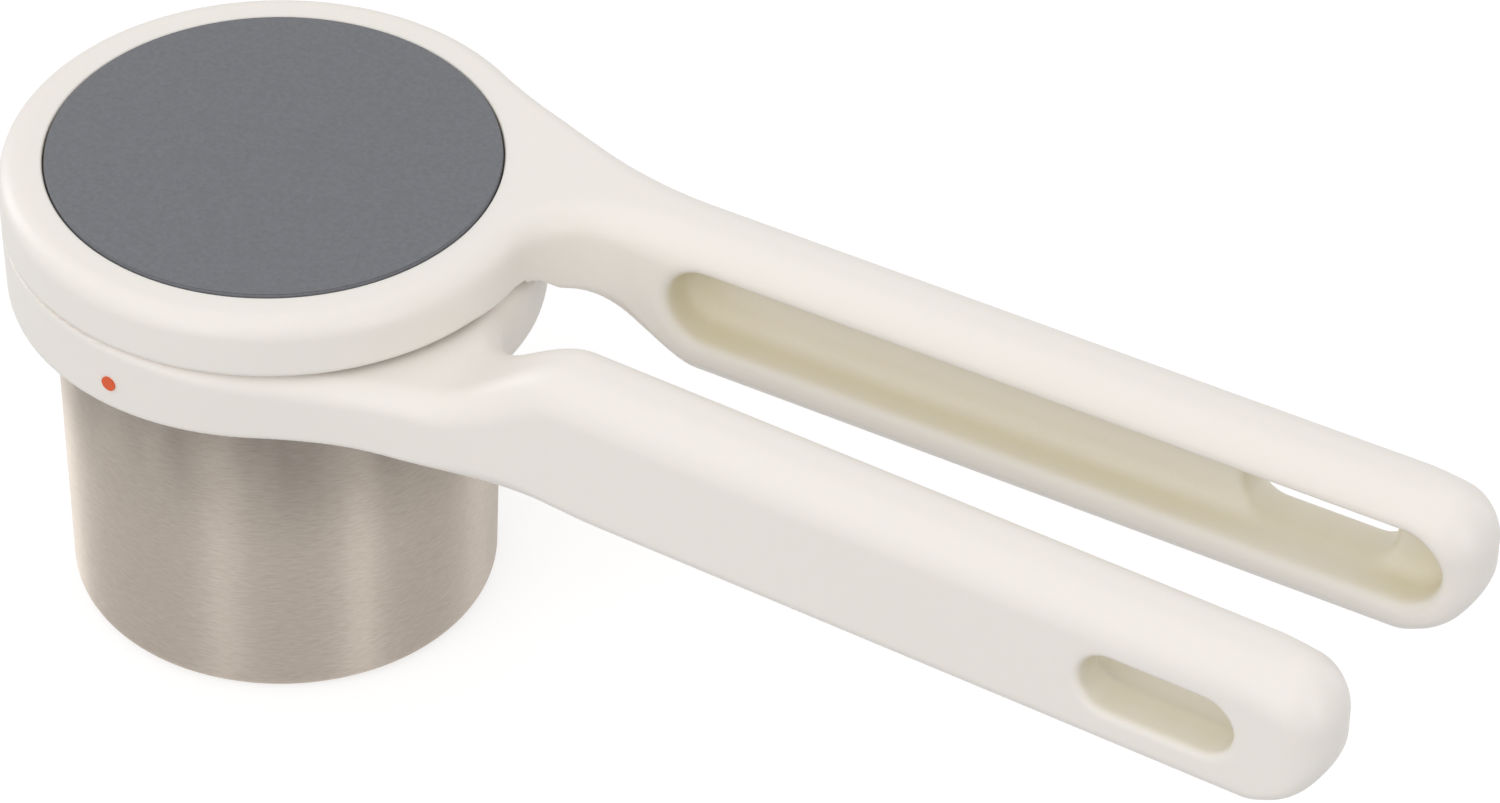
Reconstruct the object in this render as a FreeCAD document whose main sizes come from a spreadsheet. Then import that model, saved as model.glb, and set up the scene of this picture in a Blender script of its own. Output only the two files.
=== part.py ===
import FreeCAD, Part
import math
import os
import Sketcher

# Twist-action potato ricer, closed. Millimetres, +Z up, origin at the centre of the basket's underside,
# +X along the two handles. The upper handle lies on the +Y side, the lower one on the -Y side.
# Turning the upper handle anticlockwise, seen from above, lifts the head and the press disc.

doc = FreeCAD.newDocument("potato_ricer")
sheet = doc.addObject("Spreadsheet::Sheet", "Sizes")

SIZES = {
    # helix: one turn lifts the head by the lead, and three starts share the load
    "lead": 180.0,
    "starts": 3,
    "open_angle": 115.0,
    "half_splay": 1.1,
    # head ring of the upper handle
    "head_radius": 53.0,
    "head_bottom": 88.2,
    "head_top": 100.9,
    "head_plate_bottom": 94.2,
    "head_cavity_radius": 48.5,
    "head_edge_round": 4.2,
    "rim_edge_round": 0.8,
    # grey cap disc and its seat
    "seat_radius": 45.3,
    "seat_floor": 97.9,
    "disc_radius": 45.0,
    "disc_edge_top": 101.0,
    "disc_dome": 0.6,
    "disc_bevel": 0.5,
    # collar ring of the lower handle
    "collar_radius": 53.0,
    "collar_bottom_radius": 52.5,
    "collar_bottom": 72.7,
    "collar_top": 87.9,
    "collar_edge_round": 2.4,
    "collar_bore": 47.8,
    "ledge_top": 76.5,
    "ledge_bore": 45.0,
    "ring_gap": 0.7,
    # grips, the same section on both handles
    "grip_top": 99.9,
    "grip_bottom": 66.6,
    "upper_length": 247.5,
    "lower_length": 245.3,
    "grip_round": 7.8,
    "tip_side_round": 14.0,
    "tip_heel_rise": 17.0,
    "tip_heel_power": 1.8,
    "upper_inner": 17.0,
    "upper_outer": 35.2,
    "lower_inner": 12.0,
    "lower_outer": 30.2,
    # necks between ring and grip
    "inner_fillet": 16.0,
    "outer_fillet": 130.0,
    "neck_low_round": 1.5,
    "neck_round_from": 50.0,
    "neck_round_to": 80.0,
    "upper_neck_low": 82.3,
    "upper_neck_thin_from": 50.0,
    "upper_neck_thin_to": 58.0,
    "upper_neck_deepens_from": 54.0,
    "upper_neck_deepens_to": 83.0,
    "lower_neck_low": 72.9,
    "lower_neck_drops_from": 30.0,
    "lower_neck_drops_to": 92.0,
    "lower_neck_high": 85.6,
    "lower_neck_climbs_from": 55.0,
    "lower_neck_climbs_to": 83.0,
    # channel in the inner face and hang slot through the outer wall
    "channel_start": 77.0,
    "channel_end": 240.5,
    "channel_bottom": 76.0,
    "channel_top": 93.0,
    "channel_depth": 9.7,
    "slot_start": 196.0,
    "slot_end": 227.5,
    "slot_bottom": 77.2,
    "slot_top": 89.8,
    # helical lugs in the collar and grooves in the sleeve
    "lug_tip_radius": 38.4,
    "lug_root_radius": 49.0,
    "lug_start": 78.6,
    "lug_height": 5.0,
    "lug_rise": 3.4,
    "groove_floor_radius": 38.0,
    "groove_play": 0.5,
    "groove_start": 10.0,
    "groove_overrun": 1.4,
    # sleeve
    "sleeve_radius": 41.0,
    "sleeve_bore": 35.5,
    "sleeve_bottom": 14.6,
    "sleeve_floor": 4.0,
    "sleeve_flange_radius": 48.2,
    "sleeve_flange_bottom": 91.2,
    "hub_radius": 9.0,
    "hub_top": 30.0,
    "boss_circle": 31.0,
    "boss_radius": 4.8,
    "boss_bottom": 76.0,
    # screws that hold the sleeve to the head
    "screw_radius": 1.75,
    "screw_tip": 80.0,
    "screw_head_radius": 3.5,
    "screw_head_height": 2.2,
    "screw_play": 0.25,
    # press disc, washer, shoulder screw and nut
    "press_radius": 41.0,
    "press_bottom": 6.5,
    "press_top": 10.5,
    "press_hub_radius": 9.0,
    "press_hub_top": 13.4,
    "notch_floor": 37.6,
    "notch_half_angle": 9.0,
    "washer_radius": 8.0,
    "washer_top": 14.5,
    "pivot_radius": 4.0,
    "pivot_play": 0.05,
    "pivot_head_radius": 7.0,
    "pivot_head_height": 2.0,
    "pivot_thread": 2.5,
    "pivot_tip": 35.0,
    "nut_radius": 4.6,
    "nut_height": 4.0,
    # basket
    "basket_bottom_radius": 42.3,
    "basket_top_radius": 44.0,
    "basket_wall": 0.9,
    "basket_corner": 4.0,
    "basket_top": 77.9,
    "tab_radius": 47.4,
    "tab_height": 1.2,
    "tab_half_angle": 13.0,
    "hole_radius": 1.5,
    "hole_pitch": 6.0,
    "hole_rings": 6,
    "basket_turn": 35.0,
    # orange index dots
    "dot_radius": 1.55,
    "dot_depth": 1.2,
    "dot_proud": 0.1,
    "lower_dot_angle": -93.4,
    "lower_dot_height": 79.0,
    "upper_dot_height": 93.6,
}


def ease(position, start, end):
    """Smooth step from 0 at start to 1 at end."""
    t = min(max((position - start) / (end - start), 0.0), 1.0)
    return t * t * (3.0 - 2.0 * t)


def blend(position, zone, first, last):
    """Value that eases from first to last over the zone between two sizes."""
    return first + (last - first) * ease(position, SIZES[f"{zone}_from"], SIZES[f"{zone}_to"])


def fillet_to_ring(along, ring, face, fillet, outward):
    """Plan curve of a grip face that runs into the ring on a concave fillet."""
    centre = face + outward * fillet
    centre_along = math.sqrt((ring + fillet) ** 2 - centre ** 2)
    touch = centre_along * ring / (ring + fillet)
    held = min(max(along, touch), centre_along)
    return centre - outward * math.sqrt(fillet ** 2 - (centre_along - held) ** 2)


def neck_stations(which):
    """Sections of the neck, from inside the ring out to the straight grip."""
    ring = SIZES["head_radius"]
    bottom = SIZES["grip_bottom"]
    top = SIZES["grip_top"]
    stations = []
    for along in NECK_STEPS:
        inner = fillet_to_ring(along, ring, SIZES[f"{which}_inner"], SIZES["inner_fillet"], -1)
        outer = fillet_to_ring(along, ring, SIZES[f"{which}_outer"], SIZES["outer_fillet"], 1)
        if which == "upper":
            thin = blend(along, "upper_neck_thin", SIZES["head_bottom"], SIZES["upper_neck_low"])
            low = blend(along, "upper_neck_deepens", thin, bottom)
            high = top
            root_round = SIZES["head_edge_round"]
        else:
            low = blend(along, "lower_neck_drops", SIZES["lower_neck_low"], bottom)
            high = blend(along, "lower_neck_climbs", SIZES["lower_neck_high"], top)
            root_round = SIZES["collar_edge_round"]
        low_round = blend(along, "neck_round", SIZES["neck_low_round"], SIZES["grip_round"])
        high_round = blend(along, "neck_round", root_round, SIZES["grip_round"])
        stations.append((along, inner, outer, low, high, low_round, high_round))
    return stations


def tip_stations(which):
    """Sections of the end: full round in plan, rounded on top and cut back underneath."""
    inner = SIZES[f"{which}_inner"]
    outer = SIZES[f"{which}_outer"]
    half = (outer - inner) / 2.0
    middle = (outer + inner) / 2.0
    side = SIZES["tip_side_round"]
    stations = []
    for left in TIP_STEPS:
        drop = side - math.sqrt(side ** 2 - (side - left) ** 2)
        rise = SIZES["tip_heel_rise"] * ((side - left) / side) ** SIZES["tip_heel_power"]
        width = math.sqrt(half ** 2 - (half - min(left, half)) ** 2)
        rounding = min(SIZES["grip_round"], width * TIP_ROUND_SHARE)
        stations.append((SIZES[f"{which}_length"] - left, middle - width, middle + width,
                         SIZES["grip_bottom"] + rise, SIZES["grip_top"] - drop,
                         rounding, rounding))
    return stations


NECK_STEPS = (20, 28, 36, 43, 49, 53, 54.5, 56, 58, 60, 62.5, 65, 68, 71, 74, 77, 80, 84, 88, 94)
TIP_STEPS = (14.0, 11.5, 9.1, 7.0, 5.0, 3.2, 1.7, 0.7, 0.2)
TIP_ROUND_SHARE = 0.86
STATION_NAMES = ("along", "inner", "outer", "bottom", "top", "low_round", "high_round")
STATIONS = {}
for which in ("upper", "lower"):
    STATIONS[f"{which}_neck"] = neck_stations(which)
    STATIONS[f"{which}_tip"] = tip_stations(which)
    SIZES[f"{which}_grip_run"] = SIZES[f"{which}_length"] - TIP_STEPS[0] - NECK_STEPS[-1]
SIZES["grip_start"] = NECK_STEPS[-1]
for loft_name, stations in STATIONS.items():
    for number, station in enumerate(stations):
        for word, value in zip(STATION_NAMES, station):
            SIZES[f"{loft_name}_{number}_{word}"] = value

for row, (alias, value) in enumerate(SIZES.items(), start=1):
    sheet.set(f"A{row}", alias)
    sheet.set(f"B{row}", f"{value:.6g}")
    sheet.setAlias(f"B{row}", alias)
doc.recompute()

# The groove of the sleeve and the lug of the collar lie on one helix, so the sleeve is turned by what
# the helix climbs between their two starting heights.
HALF_SPLAY = SIZES["half_splay"]
LUG_MIDDLE = SIZES["lug_start"] + SIZES["lug_height"] / 2.0
SLEEVE_TURN = (SIZES["groove_start"] - LUG_MIDDLE) * 360.0 / SIZES["lead"] - HALF_SPLAY
LOWER_DOT_ANGLE = SIZES["lower_dot_angle"]
UPPER_DOT_ANGLE = SIZES["lower_dot_angle"] - SIZES["open_angle"]
HALF_TURN = math.pi
QUARTER = math.pi / 2.0
VERTICAL = FreeCAD.Vector(0, 0, 1)
STARTS = int(SIZES["starts"])


def size(expression):
    """Value of an expression over the sheet's cells, to draw a sketch near its solved shape."""
    return float(sheet.evalExpression(expression.replace("Sizes.", "")))


def turned(angle):
    """Placement turned about the upright axis, in degrees."""
    return FreeCAD.Placement(FreeCAD.Vector(0, 0, 0), FreeCAD.Rotation(VERTICAL, angle))


def new_body(label):
    body = doc.addObject("PartDesign::Body", label)
    body.Label = label
    return body


def origin_feature(body, role):
    return [feature for feature in body.Origin.OriginFeatures if feature.Role == role][0]


def new_sketch(body, name, plane, offset=None):
    sketch = body.newObject("Sketcher::SketchObject", f"{body.Label}_{name}")
    sketch.AttachmentSupport = [(origin_feature(body, plane), "")]
    sketch.MapMode = "FlatFace"
    if offset is not None:
        sketch.setExpression("AttachmentOffset.Base.z", offset)
    return sketch


def dimension(sketch, kind, where, expression):
    index = sketch.addConstraint(Sketcher.Constraint(kind, *where, size(expression)))
    sketch.setExpression(f"Constraints[{index}]", expression)


def draw_polygon(sketch, corners):
    """Closed polygon whose corners are pairs of expressions."""
    points = [FreeCAD.Vector(size(across), size(up), 0) for across, up in corners]
    count = len(points)
    for k in range(count):
        sketch.addGeometry(Part.LineSegment(points[k], points[(k + 1) % count]), False)
    for k in range(count):
        sketch.addConstraint(Sketcher.Constraint("Coincident", k, 2, (k + 1) % count, 1))
    for k, (across, up) in enumerate(corners):
        dimension(sketch, "DistanceX", (-1, 1, k, 1), across)
        dimension(sketch, "DistanceY", (-1, 1, k, 1), up)


def draw_circle(sketch, across, up, radius):
    centre = FreeCAD.Vector(size(across), size(up), 0)
    circle = sketch.addGeometry(Part.Circle(centre, VERTICAL, size(radius)), False)
    dimension(sketch, "Radius", (circle,), radius)
    dimension(sketch, "DistanceX", (-1, 1, circle, 3), across)
    dimension(sketch, "DistanceY", (-1, 1, circle, 3), up)


def draw_rounded_box(sketch, left, right, low, high, low_round, high_round):
    """Upright box with one rounding for its two lower corners and one for its upper ones."""
    x0, x1, y0, y1 = size(left), size(right), size(low), size(high)
    r0, r1 = size(low_round), size(high_round)

    def corner(x, y, radius, start):
        circle = Part.Circle(FreeCAD.Vector(x, y, 0), VERTICAL, radius)
        return Part.ArcOfCircle(circle, start, start + QUARTER)

    def line(xa, ya, xb, yb):
        return Part.LineSegment(FreeCAD.Vector(xa, ya, 0), FreeCAD.Vector(xb, yb, 0))

    sketch.addGeometry([
        line(x0 + r0, y0, x1 - r0, y0),
        corner(x1 - r0, y0 + r0, r0, -QUARTER),
        line(x1, y0 + r0, x1, y1 - r1),
        corner(x1 - r1, y1 - r1, r1, 0.0),
        line(x1 - r1, y1, x0 + r1, y1),
        corner(x0 + r1, y1 - r1, r1, QUARTER),
        line(x0, y1 - r1, x0, y0 + r0),
        corner(x0 + r0, y0 + r0, r0, HALF_TURN),
    ], False)
    for k in range(8):
        sketch.addConstraint(Sketcher.Constraint("Tangent", k, 2, (k + 1) % 8, 1))
    for k in (0, 4):
        sketch.addConstraint(Sketcher.Constraint("Horizontal", k))
    for k in (2, 6):
        sketch.addConstraint(Sketcher.Constraint("Vertical", k))
    for k, rounding in ((1, low_round), (3, high_round), (5, high_round), (7, low_round)):
        dimension(sketch, "Radius", (k,), rounding)
    dimension(sketch, "DistanceX", (-1, 1, 6, 1), left)
    dimension(sketch, "DistanceX", (-1, 1, 2, 1), right)
    dimension(sketch, "DistanceY", (-1, 1, 0, 1), low)
    dimension(sketch, "DistanceY", (-1, 1, 4, 1), high)


def draw_stadium(sketch, start, end, low, high):
    """Slot shape along the sketch's first axis, with full round ends."""
    x0, x1, y0, y1 = size(start), size(end), size(low), size(high)
    radius = (y1 - y0) / 2.0
    middle = (y0 + y1) / 2.0
    circle_right = Part.Circle(FreeCAD.Vector(x1 - radius, middle, 0), VERTICAL, radius)
    circle_left = Part.Circle(FreeCAD.Vector(x0 + radius, middle, 0), VERTICAL, radius)
    sketch.addGeometry([
        Part.LineSegment(FreeCAD.Vector(x0 + radius, y0, 0), FreeCAD.Vector(x1 - radius, y0, 0)),
        Part.ArcOfCircle(circle_right, -QUARTER, QUARTER),
        Part.LineSegment(FreeCAD.Vector(x1 - radius, y1, 0), FreeCAD.Vector(x0 + radius, y1, 0)),
        Part.ArcOfCircle(circle_left, QUARTER, 3.0 * QUARTER),
    ], False)
    for k in range(4):
        sketch.addConstraint(Sketcher.Constraint("Tangent", k, 2, (k + 1) % 4, 1))
    sketch.addConstraint(Sketcher.Constraint("Horizontal", 0))
    dimension(sketch, "DistanceY", (-1, 1, 0, 1), low)
    dimension(sketch, "DistanceY", (-1, 1, 2, 1), high)
    half_height = f"({high} - {low}) / 2"
    dimension(sketch, "DistanceX", (-1, 1, 0, 1), f"{start} + {half_height}")
    dimension(sketch, "DistanceX", (-1, 1, 0, 2), f"{end} - {half_height}")


def add_feature(body, kind, name, sketch, **settings):
    feature = body.newObject(f"PartDesign::{kind}", f"{body.Label}_{name}")
    if sketch is not None:
        feature.Profile = sketch
    for key, value in settings.items():
        setattr(feature, key, value)
    return feature


def revolve(body, name, corners, kind="Revolution"):
    """Turn a profile of (radius, height) corners a full turn about the upright axis."""
    sketch = new_sketch(body, f"{name}_profile", "XZ_Plane")
    draw_polygon(sketch, corners)
    axis = (origin_feature(body, "Z_Axis"), [""])
    feature = add_feature(body, kind, name, sketch, ReferenceAxis=axis, Angle=360.0)
    doc.recompute()
    return feature


def pad(body, name, sketch, length, kind="Pad", **settings):
    feature = add_feature(body, kind, name, sketch, Type=0, **settings)
    feature.setExpression("Length", length)
    doc.recompute()
    return feature


def cut(body, name, sketch, length, **settings):
    """Pocket that is turned round if it would cut nothing."""
    before = body.Shape.Volume
    feature = pad(body, name, sketch, length, "Pocket", **settings)
    if body.Shape.Volume > before - 0.01:
        feature.Reversed = not feature.Reversed
        doc.recompute()
    if body.Shape.Volume > before - 0.01:
        raise RuntimeError(f"{feature.Name} removes nothing")
    return feature


def repeat_around(body, name, features, count):
    pattern = body.newObject("PartDesign::PolarPattern", f"{body.Label}_{name}")
    pattern.Originals = features
    pattern.Axis = (origin_feature(body, "Z_Axis"), [""])
    pattern.Angle = 360.0
    pattern.Occurrences = count
    body.Tip = pattern
    doc.recompute()
    return pattern


def round_edges(body, name, radius, chosen):
    """Round the edges of the body's present shape for which chosen(edge) is true."""
    shape = body.Shape
    names = [f"Edge{k + 1}" for k, edge in enumerate(shape.Edges) if chosen(edge)]
    if not names:
        raise RuntimeError(f"no edge to round for {name}")
    rounded = body.Tip
    feature = body.newObject("PartDesign::Fillet", f"{body.Label}_{name}")
    feature.Base = (rounded, names)
    feature.setExpression("Radius", radius)
    doc.recompute()
    return feature


def is_ring_edge(edge, radius, height):
    """True for a full or partial circle about the upright axis, of a given radius and height."""
    curve = edge.Curve
    if not isinstance(curve, Part.Circle):
        return False
    off_axis = math.hypot(curve.Center.x, curve.Center.y)
    near = abs(curve.Radius - size(radius)) < 0.01 and abs(curve.Center.z - size(height)) < 0.01
    return near and off_axis < 0.01


def loft(body, name, loft_name, side):
    """Skin rounded-box sections that follow one another along the handle."""
    sketches = []
    for number in range(len(STATIONS[loft_name])):
        cell = {word: f"Sizes.{loft_name}_{number}_{word}" for word in STATION_NAMES}
        sketch = new_sketch(body, f"{name}_{number}", "YZ_Plane", cell["along"])
        draw_grip_section(sketch, side, cell["inner"], cell["outer"], cell["bottom"], cell["top"],
                          cell["low_round"], cell["high_round"])
        sketches.append(sketch)
    feature = add_feature(body, "AdditiveLoft", name, sketches[0], Ruled=True, Closed=False)
    feature.Sections = sketches[1:]
    doc.recompute()
    return feature


def draw_grip_section(sketch, side, inner, outer, low, high, low_round, high_round):
    """Section of a grip on its own side of the object: +1 for the upper handle, -1 for the lower."""
    if side > 0:
        draw_rounded_box(sketch, inner, outer, low, high, low_round, high_round)
    else:
        draw_rounded_box(sketch, f"-{outer}", f"-{inner}", low, high, low_round, high_round)


def add_handle(body, which, side):
    """Neck that leaves the ring, straight grip and rounded tip."""
    loft(body, "neck", f"{which}_neck", side)
    grip = new_sketch(body, "grip_section", "YZ_Plane", "Sizes.grip_start")
    last = f"Sizes.{which}_neck_{len(STATIONS[which + '_neck']) - 1}"
    draw_grip_section(grip, side, f"{last}_inner", f"{last}_outer", f"{last}_bottom", f"{last}_top",
                      f"{last}_low_round", f"{last}_high_round")
    pad(body, "grip", grip, f"Sizes.{which}_grip_run")
    loft(body, "tip", f"{which}_tip", side)
    # channel in the inner face, then the hang slot through what is left of the wall
    inner = f"Sizes.{which}_inner"
    outer = f"Sizes.{which}_outer"
    sign = "-" if side > 0 else ""
    channel = new_sketch(body, "channel_outline", "XZ_Plane", f"{sign}({inner})")
    draw_stadium(channel, "Sizes.channel_start", "Sizes.channel_end",
                 "Sizes.channel_bottom", "Sizes.channel_top")
    cut(body, "channel", channel, "Sizes.channel_depth")
    slot = new_sketch(body, "slot_outline", "XZ_Plane", f"{sign}({outer})")
    draw_stadium(slot, "Sizes.slot_start", "Sizes.slot_end", "Sizes.slot_bottom", "Sizes.slot_top")
    cut(body, "slot", slot, "Sizes.channel_depth")


def sector_notch(body, name, inner_radius, outer_radius, half_angle, low, height, kind):
    """Block between two radii, centred on the local X axis; added or taken away."""
    sketch = new_sketch(body, f"{name}_outline", "XY_Plane", low)
    angle = math.radians(size(half_angle))
    r0, r1 = size(inner_radius), size(outer_radius)

    def point(radius, turn):
        return FreeCAD.Vector(radius * math.cos(turn), radius * math.sin(turn), 0)

    centre = FreeCAD.Vector(0, 0, 0)
    sketch.addGeometry([
        Part.ArcOfCircle(Part.Circle(centre, VERTICAL, r1), -angle, angle),
        Part.LineSegment(point(r1, angle), point(r0, angle)),
        Part.ArcOfCircle(Part.Circle(centre, VERTICAL, r0), -angle, angle),
        Part.LineSegment(point(r0, -angle), point(r1, -angle)),
    ], False)
    sketch.addConstraint([
        Sketcher.Constraint("Coincident", 0, 2, 1, 1),
        Sketcher.Constraint("Coincident", 1, 2, 2, 2),
        Sketcher.Constraint("Coincident", 2, 1, 3, 1),
        Sketcher.Constraint("Coincident", 3, 2, 0, 1),
        Sketcher.Constraint("Coincident", 0, 3, -1, 1),
        Sketcher.Constraint("Coincident", 2, 3, -1, 1),
    ])
    dimension(sketch, "Radius", (0,), outer_radius)
    dimension(sketch, "Radius", (2,), inner_radius)
    for line, end in ((1, 1), (3, 2)):
        sign = "" if line == 1 else "-"
        dimension(sketch, "DistanceY", (-1, 1, line, end),
                  f"{sign}({outer_radius}) * sin({half_angle} * 1 deg)")
    for line, end in ((1, 2), (3, 1)):
        sign = "" if line == 1 else "-"
        dimension(sketch, "DistanceY", (-1, 1, line, end),
                  f"{sign}({inner_radius}) * sin({half_angle} * 1 deg)")
    if kind == "Pad":
        return pad(body, name, sketch, height)
    return cut(body, name, sketch, height)


def helix_bar(body, name, kind, inner_radius, outer_radius, low, high, rise):
    """Sweep an upright rectangle in the XZ plane up a right-hand helix about the Z axis."""
    sketch = new_sketch(body, f"{name}_section", "XZ_Plane")
    draw_polygon(sketch, [(inner_radius, low), (outer_radius, low),
                          (outer_radius, high), (inner_radius, high)])
    axis = (origin_feature(body, "Z_Axis"), [""])
    feature = add_feature(body, kind, name, sketch, ReferenceAxis=axis, Mode=0)
    feature.setExpression("Pitch", "Sizes.lead")
    feature.setExpression("Height", rise)
    doc.recompute()
    return feature


def radial_recess(body, name, angle, height, floor_radius):
    """Round blind seat for an index dot, sunk into a ring wall at an angle in degrees."""
    sketch = new_sketch(body, f"{name}_outline", "YZ_Plane")
    turn = FreeCAD.Rotation(FreeCAD.Vector(0, 1, 0), angle)
    sketch.AttachmentOffset = FreeCAD.Placement(FreeCAD.Vector(0, 0, 0), turn)
    sketch.setExpression("AttachmentOffset.Base.x", f"({floor_radius}) * sin({angle:.6g} * 1 deg)")
    sketch.setExpression("AttachmentOffset.Base.z", f"({floor_radius}) * cos({angle:.6g} * 1 deg)")
    draw_circle(sketch, "0", height, "Sizes.dot_radius")
    return cut(body, name, sketch, "Sizes.dot_depth + 1", Reversed=True)


def make_upper_handle():
    """Head ring with the seat for the cap disc, and the upper grip."""
    body = new_body("upper_handle")
    revolve(body, "head", [
        ("0", "Sizes.head_plate_bottom"),
        ("Sizes.head_cavity_radius", "Sizes.head_plate_bottom"),
        ("Sizes.head_cavity_radius", "Sizes.head_bottom"),
        ("Sizes.head_radius", "Sizes.head_bottom"),
        ("Sizes.head_radius", "Sizes.head_top"),
        ("0", "Sizes.head_top"),
    ])
    round_edges(body, "top_round", "Sizes.head_edge_round",
                lambda edge: is_ring_edge(edge, "Sizes.head_radius", "Sizes.head_top"))
    round_edges(body, "low_round", "Sizes.rim_edge_round",
                lambda edge: is_ring_edge(edge, "Sizes.head_radius", "Sizes.head_bottom"))
    add_handle(body, "upper", 1)
    revolve(body, "head_cavity", [
        ("0", "Sizes.grip_bottom"),
        ("Sizes.head_radius + Sizes.ring_gap", "Sizes.grip_bottom"),
        ("Sizes.head_radius + Sizes.ring_gap", "Sizes.head_bottom"),
        ("Sizes.head_cavity_radius", "Sizes.head_bottom"),
        ("Sizes.head_cavity_radius", "Sizes.head_plate_bottom"),
        ("0", "Sizes.head_plate_bottom"),
    ], "Groove")
    revolve(body, "disc_seat", [
        ("0", "Sizes.seat_floor"),
        ("Sizes.seat_radius", "Sizes.seat_floor"),
        ("Sizes.seat_radius", "Sizes.head_top + 1"),
        ("0", "Sizes.head_top + 1"),
    ], "Groove")
    drill_screw_holes(body)
    radial_recess(body, "dot_seat", UPPER_DOT_ANGLE - HALF_SPLAY, "Sizes.upper_dot_height",
                  "Sizes.head_radius - Sizes.dot_depth")
    body.Placement = turned(HALF_SPLAY)
    return body


def drill_screw_holes(body):
    """Counterbored clearance holes in the head plate, one over each boss of the sleeve."""
    holes = []
    for name, radius, depth in (
            ("screw_hole", "Sizes.screw_radius + Sizes.screw_play", "Sizes.head_top"),
            ("screw_seat", "Sizes.screw_head_radius + Sizes.screw_play", "Sizes.screw_head_height")):
        sketch = new_sketch(body, f"{name}_outline", "XY_Plane", "Sizes.seat_floor")
        draw_circle(sketch, "Sizes.boss_circle", "0", radius)
        holes.append(cut(body, name, sketch, depth))
    return repeat_around(body, "screw_holes", holes, STARTS)


def make_lower_handle():
    """Collar ring with the basket ledge and the three helical lugs, and the lower grip."""
    body = new_body("lower_handle")
    revolve(body, "collar", [
        ("Sizes.ledge_bore", "Sizes.collar_bottom"),
        ("Sizes.collar_bottom_radius", "Sizes.collar_bottom"),
        ("Sizes.collar_radius", "Sizes.collar_top"),
        ("Sizes.ledge_bore", "Sizes.collar_top"),
    ])
    round_edges(body, "top_round", "Sizes.collar_edge_round",
                lambda edge: is_ring_edge(edge, "Sizes.collar_radius", "Sizes.collar_top"))
    round_edges(body, "low_round", "Sizes.rim_edge_round",
                lambda edge: is_ring_edge(edge, "Sizes.collar_bottom_radius", "Sizes.collar_bottom"))
    add_handle(body, "lower", -1)
    revolve(body, "collar_bore", [
        ("0", "Sizes.grip_bottom"),
        ("Sizes.ledge_bore", "Sizes.grip_bottom"),
        ("Sizes.ledge_bore", "Sizes.ledge_top"),
        ("Sizes.collar_bore", "Sizes.ledge_top"),
        ("Sizes.collar_bore", "Sizes.collar_top"),
        ("Sizes.head_radius + Sizes.ring_gap", "Sizes.collar_top"),
        ("Sizes.head_radius + Sizes.ring_gap", "Sizes.head_top + 1"),
        ("0", "Sizes.head_top + 1"),
    ], "Groove")
    passage = sector_notch(body, "tab_passage", "Sizes.ledge_bore - 2", "Sizes.tab_radius + 0.4",
                           "(Sizes.tab_half_angle + 1.5)", "Sizes.grip_bottom",
                           "Sizes.ledge_top - Sizes.grip_bottom + 0.5", "Pocket")
    repeat_around(body, "tab_passages", [passage], STARTS)
    lug = helix_bar(body, "lug", "AdditiveHelix", "Sizes.lug_tip_radius", "Sizes.lug_root_radius",
                    "Sizes.lug_start", "Sizes.lug_start + Sizes.lug_height", "Sizes.lug_rise")
    repeat_around(body, "lugs", [lug], STARTS)
    radial_recess(body, "dot_seat", LOWER_DOT_ANGLE + HALF_SPLAY, "Sizes.lower_dot_height",
                  "Sizes.collar_radius - Sizes.dot_depth")
    body.Placement = turned(-HALF_SPLAY)
    return body


def make_top_disc():
    """Grey cap disc, slightly domed, let into the head ring over the screws."""
    body = new_body("top_disc")
    revolve(body, "disc", [
        ("0", "Sizes.seat_floor"),
        ("Sizes.disc_radius", "Sizes.seat_floor"),
        ("Sizes.disc_radius", "Sizes.disc_edge_top - Sizes.disc_bevel"),
        ("Sizes.disc_radius - Sizes.disc_bevel", "Sizes.disc_edge_top"),
        ("Sizes.disc_radius * 0.5", "Sizes.disc_edge_top + Sizes.disc_dome * 0.75"),
        ("0", "Sizes.disc_edge_top + Sizes.disc_dome"),
    ])
    return body


def make_helix_sleeve():
    """Hollow drum with a flange under the head, a closed floor and three helical grooves."""
    body = new_body("helix_sleeve")
    revolve(body, "drum", [
        ("0", "Sizes.sleeve_bottom"),
        ("Sizes.sleeve_radius", "Sizes.sleeve_bottom"),
        ("Sizes.sleeve_radius", "Sizes.sleeve_flange_bottom"),
        ("Sizes.sleeve_flange_radius", "Sizes.sleeve_flange_bottom"),
        ("Sizes.sleeve_flange_radius", "Sizes.head_plate_bottom"),
        ("Sizes.sleeve_bore", "Sizes.head_plate_bottom"),
        ("Sizes.sleeve_bore", "Sizes.sleeve_bottom + Sizes.sleeve_floor"),
        ("Sizes.hub_radius", "Sizes.sleeve_bottom + Sizes.sleeve_floor"),
        ("Sizes.hub_radius", "Sizes.hub_top"),
        ("0", "Sizes.hub_top"),
    ])
    add_screw_bosses(body)
    bore = new_sketch(body, "pivot_bore_outline", "XY_Plane", "Sizes.sleeve_bottom")
    draw_circle(bore, "0", "0", "Sizes.pivot_thread")
    cut(body, "pivot_bore", bore, "Sizes.hub_top - Sizes.sleeve_bottom")
    half = "(Sizes.lug_height / 2 + Sizes.groove_play)"
    climb = "Sizes.lug_start + Sizes.lug_height / 2 + Sizes.lug_rise - Sizes.groove_start"
    groove = helix_bar(body, "groove", "SubtractiveHelix", "Sizes.groove_floor_radius",
                       "Sizes.sleeve_radius + 2", f"Sizes.groove_start - {half}",
                       f"Sizes.groove_start + {half}", f"{climb} + Sizes.groove_overrun")
    repeat_around(body, "grooves", [groove], STARTS)
    body.Placement = turned(SLEEVE_TURN)
    return body


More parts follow.
